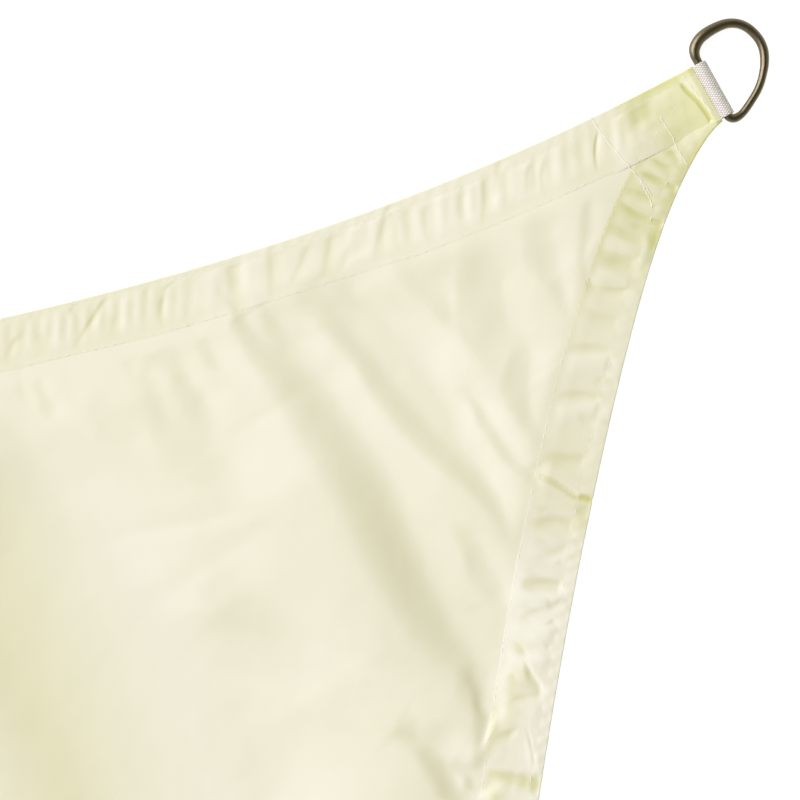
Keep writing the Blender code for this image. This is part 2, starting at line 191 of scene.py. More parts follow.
# Long low swells of the panel between the corners, in millimetres from the sail's middle.
SWELLS = (
    # x, y, x, y, bow, near, far, height
    (-570, 480, -110, 140, 30, 40, 60, 6), (-430, 620, 240, 480, -45, 35, 50, 5),
    (160, -110, 590, -480, -35, 45, 60, 6), (-600, -320, -150, -580, 40, 40, 55, 5),
    (-650, 240, -590, -230, 35, 35, 45, 4), (-210, -190, 330, -620, 30, 40, 50, 5),
    (430, 160, 650, -210, -20, 35, 40, 4),
)


def by_line(x, y, x0, y0, x1, y1):
    """Distances along and to the left of the line from one point to another, and its length."""
    run_x, run_y, length = x1 - x0, y1 - y0, math.hypot(x1 - x0, y1 - y0)
    x, y = (x - x0) / length, (y - y0) / length
    return x * run_x + y * run_y, y * run_x - x * run_y, length


def swells(x, y):
    """Height of the swells. Each is rise * 4 t (1 - t), with t going along its line from 0 to 1,
    times a bell of the distance to the left of the line, which bows that way in its middle."""
    height = np.zeros_like(x)
    for *ends, bow, near, far, rise in np.array(SWELLS) * MM:
        along, left, length = by_line(x, y, *ends)
        t = np.clip(along / length, 0, 1)
        bend = 4 * t * (1 - t)
        off = left - bow * bend
        height = height + rise * bend * bell(off / np.where(off < 0, near, far))
    return height


def smooth_path(points, steps):
    """A curve through points: between each two, the cubic whose slope at a point is half the way
    between its neighbours."""
    points = np.asarray(points, float)
    ends = np.vstack((2 * points[0] - points[1], points, 2 * points[-1] - points[-2]))
    t = np.linspace(0, 1, steps, endpoint=False)[None, :, None]
    a, b, c, d = (ends[i:len(ends) - 3 + i, None, :] for i in range(4))
    curve = 0.5 * (2 * b + (c - a) * t + (2 * a - 5 * b + 4 * c - d) * t**2
                   + (3 * b - a - 3 * c + d) * t**3)
    return np.vstack((curve.reshape(-1, points.shape[1]), points[-1:]))


def folds(x, y, rows, size):
    """Depth of the folds in a table. Places are measured along the chord of each fold's path, as a
    share of it, and left of the path. With u going from 0 to 1 across the width the cloth drops by
    2/3 steepness * width * soft_step(u^skew), and with v going on across the spread it comes back
    by soft_step(v^0.75) of that. Towards the path's ends both fade out."""
    depth = np.zeros_like(x)
    for steepness, skew, spread, *points in rows:
        path = smooth_path(points, 24) * (-MM, -MM, MM) * size
        reach = (0.6 + spread) * path[:, 2].max() + 0.003
        low, high = path.min(axis=0) - reach, path.max(axis=0) + reach
        close = (x > low[0]) & (x < high[0]) & (y > low[1]) & (y < high[1])
        if not close.any():
            continue
        chord = *path[0, :2], *path[-1, :2]
        ahead, aside, length = by_line(path[:, 0], path[:, 1], *chord)
        lean = np.gradient(aside) / np.gradient(ahead)
        along, left, _ = by_line(x[close], y[close], *chord)
        width = np.interp(along, ahead, path[:, 2])
        left = left - np.interp(along, ahead, aside)
        left = left / np.sqrt(1 + np.interp(along, ahead, lean)**2)
        down = soft_step(np.clip(left / width + 0.5, 0, 1)**skew)
        back = soft_step(np.clip((left / width - 0.5) / spread, 0, 1)**0.75)
        fade = min(0.4 * length, path[:, 2].max() * (0.6 + 0.5 * spread))
        ends = soft_step(along / fade) * soft_step((length - along) / fade)
        depth[close] += steepness * width / 1.5 * (down - back) * ends
    return depth


def lie(x, y):
    """Height of the cloth's lower face: its swells, or a loft near each corner less the folds,
    whichever is higher, with a 0.6 mm rounding where they meet. The loft is 6.5 mm and a bell of
    2.2 mm more, 115 mm wide, among the folds, and ends by 0.8 m from the corner. Towards the rim
    both go down to 0 by 1 - (1 - distance / 0.15)^2."""
    rim = 1 - (1 - np.clip(rim_distance(x, y) / 0.15, 0, 1))**2
    height = swells(x, y) * rim
    rounding = 0.0006
    for quarter, size in enumerate(CORNER_FOLD_SIZE):
        across, down = turned(x, y, -quarter)
        across, down = across - CORNER, down - CORNER
        away = soft_step((np.hypot(across, down) / size - 0.5) / 0.3)
        rows = CORNER_FOLDS if quarter == 0 else CORNER_FOLDS[:SHARED_FOLDS]
        middle = bell((across / size + 0.185) / 0.115) * bell((down / size + 0.25) / 0.115)
        lofted = (0.0065 + 0.0022 * middle) * (1 - away) * rim - folds(across, down, rows, size)
        join = np.sqrt((height - lofted)**2 + rounding**2)
        height = 0.5 * (height + lofted + join - rounding)
    return np.maximum(height, 0)


def grid_lines():
    """Shares from 0 to 1 for the panel's grid lines: 2.1 mm apart for the 0.40 m by the corner
    that is seen closest, widening to 17 mm, and 11 mm by the far corners."""
    width, steps = 1.89, 4000
    places = np.linspace(0, 1, steps + 1)
    from_corner = (1 - places) * width
    pitch = 2.1 + 14.9 * soft_step((from_corner - 0.4) / 0.3)
    pitch = pitch - 6 * soft_step((from_corner - 1.35) / 0.2)
    count = np.append(0, np.cumsum(0.5 * (1 / pitch[1:] + 1 / pitch[:-1])))
    lines = round(count[-1] * width / MM / steps) + 1
    return np.interp(np.linspace(0, count[-1], lines), count, places)


def panel_places():
    """A grid stretched between the four edges, each moved in by 34 mm. A point is the mix of the
    left and right curves plus the mix of the lower and upper ones, less the mix of the corners.
    The corners are where two such edges cross, found by going from one to the other."""
    moved_in, reach = 0.034, 0.945
    for _ in range(40):
        right = edge_line(np.array(-reach))[0] - moved_in
        reach = edge_line(np.array(right))[0] - moved_in
    share = grid_lines()

    def upper(quarter, shares):
        x = -reach + (right + reach) * shares
        return np.array(turned(x, edge_line(x)[0] - moved_in, quarter))

    u, v = share[None, None, :], share[None, :, None]
    top, left = upper(0, share)[:, None, :], upper(3, share)[:, :, None]
    bottom, other = upper(2, 1 - share)[:, None, :], upper(1, 1 - share)[:, :, None]
    ends = [np.array(turned(right, float(reach), quarter)).reshape(2, 1, 1) for quarter in range(4)]
    corners = (1 - v) * ((1 - u) * ends[2] + u * ends[1]) + v * ((1 - u) * ends[3] + u * ends[0])
    return (1 - v) * bottom + v * top + (1 - u) * left + u * other - corners


def grid_quads(rows, columns, wrap=False):
    """Quads between neighbouring points of a grid. wrap joins its last row to its first."""
    index = np.arange(rows * columns).reshape(rows, columns)
    if wrap:
        index = np.vstack((index, index[:1]))
    quads = np.stack((index[:-1, :-1], index[:-1, 1:], index[1:, 1:], index[1:, :-1]), axis=-1)
    return quads.reshape(-1, 4)


def make_mesh(name, places, quads):
    """A smooth mesh of four-sided faces between points."""
    mesh = bpy.data.meshes.new(name)
    mesh.from_pydata(places.reshape(-1, 3), [], quads, shade_flat=False)
    return mesh


def grid_mesh(name, places, flip=False, wrap=False, **attributes):
    """A mesh from a rows x columns x 3 array, with attributes as values for its points."""
    quads = grid_quads(*places.shape[:2], wrap)
    mesh = make_mesh(name, places, quads[:, ::-1] if flip else quads)
    for key, values in attributes.items():
        layer = mesh.attributes.new(key, "FLOAT", "POINT")
        layer.data.foreach_set("value", np.ravel(values).astype(np.float32))
    return mesh


def turned_away(places):
    """How steeply a rows x columns x 3 array of places falls towards (0.92, -0.39), to the right
    and down, away from the side that the window is on. The gradient of z over x and y comes from
    the differences along both grid directions by Cramer's rule."""
    (x_u, y_u, z_u), (x_v, y_v, z_v) = (
        np.moveaxis(np.gradient(places, axis=axis), -1, 0) for axis in (0, 1))
    area = x_u * y_v - x_v * y_u
    area = np.where(np.abs(area) < 1e-12, 1e-12, area)
    slope_x, slope_y = (z_u * y_v - z_v * y_u) / area, (x_u * z_v - x_v * z_u) / area
    return np.clip(0.39 * slope_y - 0.92 * slope_x, -0.5, 0.5)


def put(name, data):
    """A new object in the scene."""
    made = bpy.data.objects.new(name, data)
    bpy.context.scene.collection.objects.link(made)
    return made


def add_piece(mesh, finish, nodes=()):
    """Puts a finished mesh into the scene, on the sail's one body."""
    piece = put(mesh.name, mesh)
    mesh.materials.append(finish)
    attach(piece, "root")
    if nodes:
        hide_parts(*nodes)
    return piece


def node_tools(owner):
    """Two functions for a material's or a world's nodes. add makes a node and gives one of its
    outputs. fill sets a node's inputs, by name or number, to values or to other nodes' outputs."""
    owner.use_nodes = True
    tree = owner.node_tree

    def fill(node, inputs):
        for key, value in inputs.items():
            if isinstance(value, bpy.types.NodeSocket):
                tree.links.new(value, node.inputs[key])
            else:
                node.inputs[key].default_value = value

    def add(kind, output, inputs, **settings):
        node = tree.nodes.new("ShaderNode" + kind)
        for key, value in settings.items():
            setattr(node, key, value)
        fill(node, inputs)
        return node.outputs[output]

    return add, fill


def make_material(name, look):
    """A material whose shader gets the inputs that look(add) gives."""
    made = bpy.data.materials.new(name)
    add, fill = node_tools(made)
    fill(made.node_tree.nodes["Principled BSDF"], look(add))
    return made


def mix_colours(add, share, first, second):
    """A colour between two, by a share from 0 to 1."""
    return add("Mix", 2, {0: share, 6: (*first, 1), 7: (*second, 1)}, data_type="RGBA")


def noise(add, place, scale, detail, rough=0.5):
    """A cloudy value over the place."""
    return add("TexNoise", "Fac",
               {"Vector": place, "Scale": scale, "Detail": detail, "Roughness": rough})


def bump(add, height, strength, distance, **more):
    """A normal that follows a height."""
    return add("Bump", 0, {"Height": height, "Strength": strength, "Distance": distance, **more})


def cloth_look(add):
    """Cream polyester. Its tone attribute goes from pale where one layer lies open to a deeper
    yellow-green where layers come together, and it also carries painted shade and light: deeper on
    slopes turned from the lamp, in pucker valleys and grooves, and paler on slopes that face the
    lamp. A fine plain weave and small random dents are bumps on object coordinates, and a coarser
    cloudiness varies the colour and roughness."""
    place = add("TexCoord", "Object", {})
    tone = add("Attribute", "Fac", {}, attribute_name="tone")
    cloud = noise(add, place, 9, 3, 0.55)
    deep = add("Math", 0, {0: cloud, 1: 0.16, 2: tone}, operation="MULTIPLY_ADD")
    deep = add("Math", 0, {0: deep, 1: 0.87, 2: 0.06}, operation="MULTIPLY_ADD", use_clamp=True)
    warp, weft = (add("TexWave", "Fac", {"Vector": place, "Scale": 420}, bands_direction=axis)
                  for axis in ("X", "Y"))
    weave = add("Math", 0, {0: warp, 1: weft}, operation="MULTIPLY")
    dents = bump(add, noise(add, place, 38, 2), 0.5, 0.0012)
    return {
        "Base Color": mix_colours(add, deep, (0.83, 0.807, 0.713), (0.597, 0.588, 0.24)),
        "Normal": bump(add, weave, 0.25, 0.00006, Normal=dents),
        "Roughness": add("MapRange", 0, {"Value": cloud, "To Min": 0.5, "To Max": 0.64}),
        "Specular IOR Level": 0.3, "Sheen Weight": 0.08,
    }


cream_cloth = make_material("cream_cloth", cloth_look)
panel_x, panel_y = panel_places()
panel_spots = np.stack((panel_x, panel_y, lie(panel_x, panel_y) + 0.0008), axis=-1)

# Painted shade and light: the tone is deeper beyond the long fold of the seen corner, on its shaded
# flank, and paler before it, measured square to the fold's line, which runs down and to the left.
past = 0.964 * (CORNER - 0.4205 - panel_x) + 0.266 * (CORNER - 0.2056 - panel_y)
below = CORNER - panel_y
painted_trough_shade = 0.25 * bell((past - 0.048) / 0.034) - 0.1 * bell((past + 0.035) / 0.03)
painted_trough_shade = painted_trough_shade * soft_step((below - 0.17) / 0.12) * soft_step((0.66 - below) / 0.15)
# Painted shade and light: the cloth's tone deepens on slopes that fall away from the lamp and pales
# on slopes that face it, by this much for each unit of slope.
SHADE_PAINTED_BY_SLOPE = 1.2
panel_tone = 0.05 + SHADE_PAINTED_BY_SLOPE * turned_away(panel_spots) + painted_trough_shade
panel = add_piece(grid_mesh("panel", panel_spots, tone=panel_tone),
                  cream_cloth, ["sail_cloth"])

# ---- Hems --------------------------------------
# Each edge of the cloth is turned over by 40 mm and sewn down along both sides. Pulled by the
# thread it puckers all along. At every corner the hem from the left lies over the one that goes
# on to the right, and both end in the neck, which swells over the webbing sewn in between.

# Puckers of the two hems that are seen closest, in millimetres: valleys, and ridges where the
# depth is negative. Along the top edge they are measured leftwards from the corner.
TOP_PUCKERS = (
    # e0, e1, i0, i1, width, depth in hundredths of a millimetre
    (70.6, 80, 11, 31.6, 1.1, 40), (46, 42, 6, 18, 5.8, 50), (26, 26, 5, 17, 5.8, -31),
    (51, 63, 5, 35, 6.4, -43), (87, 85, 11, 22, 3.6, 19), (107, 114, 13, 30, 2.9, 30),
    (117, 124, 12, 28, 2.9, 30), (132, 135, 26, 32, 2.2, 17), (132, 142, 1, 21, 2.9, 28),
    (145, 156, 7, 33, 2.4, 43), (160, 165, 10, 26, 3.6, 22), (185, 190, 10, 31, 3.2, 32),
    (199, 201, 8, 28, 3.6, 17), (206, 224, 2, 30, 3.2, 32), (237, 249, 17, 30, 3.2, 22),
    (246, 260, 7, 31, 3.2, 32), (262, 279, 9, 28, 3.2, 22), (283, 291, 3, 30, 3.6, 35),
    (310, 315, 4, 37, 4.4, 43), (336, 336, 26, 34, 2.2, 22), (344, 347, 21, 29, 2.2, 22),
    (348, 354, 5, 9, 2.2, 28), (356, 361, 12, 30, 1.8, 38), (365, 365, 5, 10, 2.2, 22),
    (389, 394, 16, 29, 2.9, 32), (391, 417, 4, 29, 2.4, 32), (411, 411, 3, 9, 1.8, 32),
    (434, 437, 16, 28, 3.3, 32), (437, 437, 2, 6, 2.2, 22), (449, 460, 14, 29, 2.9, 32),
    (100, 106, 8, 30, 4.4, -19), (111, 119, 12, 32, 3.6, -19), (121, 130, 8, 30, 4.4, -28),
    (137, 146, 5, 30, 3.6, -19), (151, 162, 6, 32, 5.1, -28), (175, 184, 6, 34, 7.1, -32),
    (189, 194, 8, 32, 3.6, -22), (217, 229, 5, 30, 5.1, -22), (231, 241, 6, 32, 4.4, -22),
    (300, 306, 6, 34, 5.8, -22), (324, 335, 6, 34, 7.1, -28), (376, 381, 6, 30, 7.1, -22),
    (425, 428, 6, 30, 7.1, -22), (14, 17, 16, 33, 2.5, 20), (37, 35, 20, 26, 3, 30),
    (52, 48, 20, 30, 4, -22), (24, 22, 22, 32, 3.5, -15),
)
RIGHT_PUCKERS = (
    (33, 33, 8.5, 17, 1.5, 50), (39.5, 39.5, 7.5, 25, 1.1, 50), (50, 50, 0, 25, 1.5, 71),
    (62, 62, 12.5, 30, 1.5, 50), (73.5, 70.5, 0, 30, 1.9, 91), (80, 80, 0, 18, 1.8, 29),
    (88, 86, 8.5, 32, 3, 40), (100, 101, 9, 33, 3.2, 46), (106, 106, 6.5, 30, 2.7, 28),
    (119, 122, 9, 33, 2.2, 46), (138, 138, 9, 33, 3.2, 32), (158, 161, 9, 34, 2.7, 46),
    (177, 177, 0.5, 14, 2.2, 27), (187, 191, 9, 34, 2.2, 46), (201, 201, 8.5, 18, 2.7, 27),
    (226, 228, 9, 34, 3.2, 49), (256, 256, 0, 8, 3.2, 41), (267, 270.5, 7.5, 33, 3.2, 60),
    (261, 261, 26.5, 32, 1.6, 41), (281, 295, 9, 32, 4.3, 30), (293, 293, 8.5, 14, 2.2, 41),
    (305, 308, 7.5, 33, 3.2, 80), (316, 316, 6.5, 15, 2.2, 49), (320, 329, 10.5, 30, 2.2, 26),
    (330, 330, 6.5, 12, 1.6, 41), (342, 342, 6.5, 12, 1.6, 41), (372, 358, 8, 21, 3.2, 70),
    (350, 344, 22.5, 32, 2.2, 41), (367, 367, 25.5, 31, 3.2, 49), (375, 382, 9, 28, 2.2, 30),
    (399, 404, 21.5, 33, 2.7, 60), (418, 399, 5, 13, 2.4, 35), (430, 427, -3, 15, 3.4, 80),
    (427, 428, 15, 34, 3.4, 80), (45, 45, 2.5, 26, 1.8, -25), (54, 54, 2.5, 26, 2.2, -29),
    (66, 66, 3.5, 30, 2.2, -29), (94, 93, 2.5, 32, 3.8, -56), (114, 114, 9, 33, 3.2, -28),
    (162, 168, 9, 34, 4.3, -42), (172, 172, 0, 10, 3.2, -20), (192, 200, 9, 34, 4.3, -32),
    (207, 207, 0, 8, 2.7, -17), (217, 217, 0, 8, 2.7, -17), (290, 290, 9, 30, 3.8, -35),
    (315, 315, 9, 34, 3.2, -41), (335, 335, 9, 34, 4.3, -41), (353, 353, 9, 34, 3.2, -41),
    (384, 384, 9, 28, 7.6, -25), (415, 405, 2.5, 12, 4.3, -41), (84, 84, -3, 5, 4, 35),
    (54, 54, -3, 1, 3, 30), (163, 163, -2, 7, 3, -30), (196, 196, -2, 7, 3.5, -30),
    (122, 122, -2, 7, 3, -20), (250.5, 250, -4, 9, 1.4, 140), (249.8, 241, 9, 39, 1.4, 140),
)


def puckers(along, inset, rows):
    """Depth of the puckers in a table, in metres. Each runs across an edge from inset i0 to i1
    while its middle goes from e0 to e1, bowing by up to 1.5 mm, and is a bell
    exp(-((e - middle) / flank)^2) across. The flank nearer the edge's start is 0.85 of the width,
    the other one 1.7 of it, and both narrow to two thirds at the pucker's ends."""
    depth = np.zeros(np.broadcast(along, inset).shape)
    for e0, e1, i0, i1, width, deep in rows:
        share = np.clip((inset / MM - i0) / (i1 - i0), -0.2, 1.2)
        middle = e0 + (e1 - e0) * share + 1.5 * math.sin(0.7 * e0) * np.sin(np.pi * share)
        ends = soft_step((inset / MM - i0 + 3.5) / 7) * soft_step((i1 + 3.5 - inset / MM) / 7)
        off = along / MM - middle
        flank = width * np.where(off < 0, 0.85, 1.7) * (0.67 + 0.33 * ends)
        depth = depth + deep / 100 * MM * ends * bell(off / flank)
    return depth


def chance_puckers(seed, first, last, pitch, width):
    """Uneven puckers for a stretch that isn't seen closely, about a pitch apart, each with its
    own slant, reach, width and depth of up to 0.7 mm, and every other one a ridge."""
    chance = np.random.default_rng(seed)
    count = int((last - first) / pitch)
    low = first + (np.arange(count) + chance.uniform(0.2, 0.8, count)) * pitch
    sign = np.where(np.arange(count) % 2 == 0, 1, -0.8)
    return np.stack((low, low + chance.uniform(-5, 9, count), chance.uniform(2, 13, count),
                     chance.uniform(24, 35, count), width * chance.uniform(0.7, 1.3, count),
                     70 * sign * chance.uniform(0.4, 1, count)), axis=1)


LENGTH_MM = EDGE_LENGTH / MM
seen_top = np.array(TOP_PUCKERS)
seen_top[:, :2] = LENGTH_MM - seen_top[:, :2]
HEM_PUCKERS = (
    np.vstack((seen_top, chance_puckers(11, 20, LENGTH_MM - 465, 19, 5.5))),
    np.vstack((RIGHT_PUCKERS, chance_puckers(12, 445, LENGTH_MM - 20, 18, 5.5))),
    chance_puckers(13, 20, LENGTH_MM - 20, 20, 6),
    chance_puckers(14, 20, LENGTH_MM - 20, 21, 6),
)


def sewn_rows(quarter, along):
    """How far in the outer and the inner row of stitches run. The two hems that are seen closest
    were sewn less evenly than the others, which wander by under a millimetre."""
    if quarter == 0:
        from_end = (EDGE_LENGTH - along) / MM
        outer = np.interp(from_end, (0, 90, 115, 150, 190, 290, 350, 460, 560),
                          (5.5, 6, 8, 7, 6, 5, 2.4, 2.4, 5))
        inner = np.interp(from_end, (0, 200, 230, 290, 375, 430, 480, 560),
                          (36, 36, 34, 33, 33, 32, 32, 34.5))
    elif quarter == 1:
        from_end = along / MM
        outer = np.interp(from_end, (0, 20, 60, 250, 320, 440, 520), (5, 7, 9, 9, 7, 7, 5.5))
        inner = np.interp(from_end, (0, 31, 45, 62, 100, 125, 150, 175, 300, 370, 436, 500),
                          (27, 28, 30, 32, 34, 35, 36.5, 38, 38, 37, 36, 35))
    else:
        outer = 5.5 + 0.5 * np.sin(7 * along + quarter)
        inner = 35 + 0.8 * np.sin(5 * along + 2 * quarter)
    return outer * MM, inner * MM


STITCH_PITCH = 0.0058
FAN_REACH = 0.025           # at its ends a hem's cross direction turns into the line of the neck
LATE_FAN = NECK_TURN - math.pi - math.atan2(-1, edge_line(EDGE_X[:1])[1][0])
EARLY_FAN = NECK_TURN - 0.5 * math.pi - math.atan2(-1, edge_line(EDGE_X[-1:])[1][0])


def from_edge(along, inset, quarter):
    """Places at distances along an edge and in from it. The way in is square to the edge, and
    fans round to the line of the neck over the last 25 mm."""
    x = np.interp(along, EDGE_ARC, EDGE_X)
    y, slope = edge_line(x)
    way = np.arctan2(-1, slope) + LATE_FAN * (1 - soft_step(along / FAN_REACH)) \
        + EARLY_FAN * (1 - soft_step((EDGE_LENGTH - along) / FAN_REACH))
    return turned(x + inset * np.cos(way), y + inset * np.sin(way), quarter)


HEM_PAINTED_SHADE = (
    # painted shade at the right hem's darker places, in its pucker valleys and dips, in
    # millimetres: how much, along, in, then its reach both ways
    (0.45, 84, 1, 8, 5), (0.25, 61, 1, 3.5, 5), (0.25, 256, 2, 7, 6), (0.55, 400, 37, 18, 4.5),
    (0.45, 441, 29, 14, 8), (0.38, 378, 26, 30, 8), (0.55, 250, 2, 2.2, 5),
    (0.3, 249.8, 8.5, 1.8, 3), (0.5, 429, 8, 4.5, 8), (0.3, 427, 25, 3, 7), (0.25, 201, 2, 2, 5),
    (0.2, 186, 9.5, 2.5, 2.5), (0.25, 266, 4, 5, 6), (0.2, 317, 4, 3, 5), (0.15, 347, 27, 4, 5),
)
OVERLAP = 0.043             # how far in from its edge a hem covers the next one, or is covered
GROOVE = 0.0007             # half the width of the groove that a row of thread presses
# The edge of the upper hem across the neck, in millimetres along the neck and out from its face.
NECK_FOLD = ((-19.5, -12, -6, 2, 10.6, 18), (-11.5, -10, -8.8, -6.4, -5.4, -4.9))


def neck_frame(x, y):
    """Distances along the neck of the (+X, +Y) corner and out from its face."""
    x, y = x - CORNER, y - CORNER
    return x * NECK_SIN - y * NECK_COS, x * NECK_COS + y * NECK_SIN


def pulled(quarter, along, inset, outer, inner):
    """Depth of a hem's puckers, with a fine ripple of 0.1 mm and beads of 0.12 mm along the rim,
    and the share of it that the rim and the rows of stitches let through."""
    ripple = np.sin(2 * np.pi * (along + 0.3 * inset) / 0.0093 + 2.2 * np.sin(along / 0.031))
    ripple = ripple * (0.5 + 0.5 * np.sin(along / 0.047 + quarter))
    ripple = ripple * np.sin(np.pi * np.clip(inset / inner, 0, 1))
    beads = np.sin(2 * np.pi * along / 0.0098 + 1.5 * np.sin(along / 0.023))
    beads = beads * np.sin(np.pi * np.clip(inset / outer, 0, 1))
    plump, press = 0.4, 0.6
    if quarter == 1:
        plump = 0.6 + 0.7 * soft_step((along - 0.24) / 0.05)
        press = np.where(along < 0.11, 0.15, 0.35)
    valleys = puckers(along, inset, HEM_PUCKERS[quarter])
    valleys = valleys + 0.0001 * ripple + 0.00012 * plump * beads
    quiet = 1 - press * bell((inset - outer) / 0.0016)
    quiet = quiet * (1 - 0.6 * bell((inset - inner) / 0.0016))
    return valleys, quiet * soft_step((inset + 0.001) / 0.003)


def hem_rise(quarter, along, inset, x, y):
    """How high a hem's top stands over the cloth's lower face, and its tone. At the rim it is
    1.5 mm high, 0.3 mm more where it lies over the next hem, and 0.3 mm less where it lies under
    one. It sinks by 0.62 mm on its way to the inner stitches, less the depth of its puckers, and
    behind them lies 0.76 mm high. The thread presses narrow grooves with a dip at every needle
    hole. The neck swells by the square of the nearness to its face, up to 6.9 mm."""
    outer, inner = sewn_rows(quarter, along)
    by_neck = EDGE_LENGTH - along < 0.2
    across, out_here = neck_frame(*turned(x, y, -quarter))
    out = np.maximum(out_here, neck_frame(*turned(x, y, 1 - quarter))[1])
    next_inset = np.where(by_neck, to_edge(x, y, quarter + 1)[1], 1)
    last_inset = np.where(along < 0.2, to_edge(x, y, quarter - 1)[1], 1)
    over = soft_step((OVERLAP - next_inset) / 0.009)
    under = soft_step((OVERLAP - last_inset) / 0.009)
    past_outer, past_inner = inset - outer, inset - inner

    rise = 0.0014 + 0.0001 * soft_step(inset / 0.006) + 0.0003 * (over - under)
    rise = rise - 0.00037 * soft_step((inset - 0.006) / (inner - 0.014))
    rise = rise - 0.00025 * soft_step((past_inner + 0.01) / 0.009)
    valleys, quiet = pulled(quarter, along, inset, outer, inner)
    valleys = valleys * (1 - under)
    held = 1 - 0.9 * soft_step((past_inner + 0.019) / 0.018)
    rise = rise - np.clip(valleys * quiet, -0.0012, 0.0009) * held
    holes = 0.6 + 0.4 * np.cos(2 * np.pi * along / STITCH_PITCH)
    inner_groove, outer_groove = 0.00001 if quarter == 0 else 0.00005, 0.00006
    rise = rise - inner_groove * holes * bell(past_inner / GROOVE)
    rise = np.maximum(rise, 0.00086 * soft_step((past_inner + 0.0055) / 0.0025))
    rise = rise + (0.00076 + 0.00032 * over - rise) * soft_step((past_inner + 0.001) / 0.0032)

    swelling = np.clip((0.036 + out) / 0.032, 0, 1)**2
    full = np.where(by_neck, 0.0069, 0.0053 + 0.0014 * soft_step((last_inset - 0.033) / 0.004))
    rise = rise + (full - rise) * swelling
    rise = rise - outer_groove * holes * (1 + swelling) * bell(past_outer / GROOVE)
    short = np.interp(across / MM, *NECK_FOLD) * MM - out_here
    band = soft_step(0.5 - short / 0.001)
    gap = soft_step(short / 0.0006 + 0.5) * (1 - soft_step((short - 0.0003) / 0.003))
    gap = gap * soft_step((across + 0.015) / 0.005)
    rise = rise - (0.0009 * gap + 0.0003 * (1 - band) * swelling) * by_neck

    # Painted shade deepens the tone in the groove along the upper hem's edge across the neck. The
    # strip beyond it, towards the webbing, is made paler, and the tone is deeper along the outer 7
    # mm of a hem near the neck.
    tone = hem_tone(quarter, along + 0.33 * inset, inset) + (0.6 * gap - 0.25 * band) * by_neck
    tone = tone + 0.4 * (1 - soft_step(inset / 0.007)) * soft_step((0.06 + out) / 0.04)
    if quarter == 1:
        # Painted shade at the right hem's darker places, from the table above.
        for deeper, e, i, long, wide in HEM_PAINTED_SHADE:
            tone = tone + deeper * bell((along / MM - e) / long) * bell((inset / MM - i) / wide)
        # Painted shade along the right hem's inner row of stitches near the corner.
        tone = tone + 0.27 * bell(past_inner / 0.0022) * bell((along - 0.1) / 0.065)
    else:
        # Painted light: the tone is paler along a hem's inner edge, against the shade of the step
        # there.
        tone = tone - (0.25 + 0.4 * over) * bell((past_inner - 0.003) / 0.0014)
    # Painted shade and light: the tone deepens in the puckers' valleys and pales on their ridges.
    return rise, tone + 0.25 * np.clip(valleys / 0.0007, -0.4, 1) * quiet


def hem_tone(quarter, along, inset):
    """The depth of a hem's colour along it, greatest by the corners, and there less on the inner
    half of the hem that lies on top. It is partly the deeper colour of layered cloth and partly
    painted shade where the hem slopes away from the lamp by the corner. The right hem's values
    below zero are painted light that pales the shade of its slope."""
    if quarter == 0:
        from_end = EDGE_LENGTH - along
        corner_depth = np.interp(from_end, (0, 0.02, 0.045, 0.055, 0.075), (0.78, 0.64, 0.52, 0.25, 0))
        rest_depth = np.interp(from_end, (0, 0.075, 0.1, 0.3, 0.35, 0.45, 0.7),
                          (0.18, 0.15, 0.08, 0.05, 0.15, 0.15, 0.12))
        inner_half = soft_step((inset - 0.012) / 0.016) * soft_step((from_end - 0.018) / 0.014)
        return np.maximum(corner_depth * (1 - 0.6 * inner_half), rest_depth)
    if quarter == 1:
        return np.interp(along, (0, 0.06, 0.09, 0.13, 0.2, 0.23, 0.26, 0.3, 0.45, 0.7),
                         (0.5, 0.46, 0.36, 0.14, 0.04, 0.1, 0.1, -0.12, -0.1, 0.05))
    return np.interp(np.minimum(along, EDGE_LENGTH - along), (0, 0.12, 0.3), (0.5, 0.25, 0.15))


# The rolled ends of a hem, along from the end and drawn in. NOSE is the rim's fold, inwards.
LIP = np.array(((0.6, 0), (0.18, 0.18), (0, 0.6), (0.18, 1.02), (0.6, 1.2), (4, 1.2))) * MM
NOSE = 0.0006


def hem_stations(quarter):
    """Distances along a hem, with how far its section draws in there. They are 0.7 mm apart for
    0.12 m by the corner that is seen closest, 1.2 mm to 0.46 m, and 5 mm elsewhere, or 1.5 mm by
    a plain corner. At both ends the section is rolled under in a small lip."""
    from_end = [0]
    total = EDGE_LENGTH - 2 * LIP[0, 0]
    while from_end[-1] < total:
        d = from_end[-1]
        close = (0.0007 if d < 0.12 else 0.0012) if d < 0.46 else 0.005
        plain = 0.0015 if min(d, total - d) < 0.02 else 0.005
        from_end.append(d + min(close, plain) if quarter < 2 else d + plain)
    places = np.array(from_end) * total / from_end[-1]
    if quarter == 0:
        places = total - places[::-1]
    places = np.concatenate((LIP[:0:-1, 0], LIP[0, 0] + places, EDGE_LENGTH - LIP[1:, 0]))
    draw = np.concatenate((LIP[:0:-1, 1], np.zeros(len(from_end)), LIP[1:, 1]))
    return places[None, :], draw[None, :]


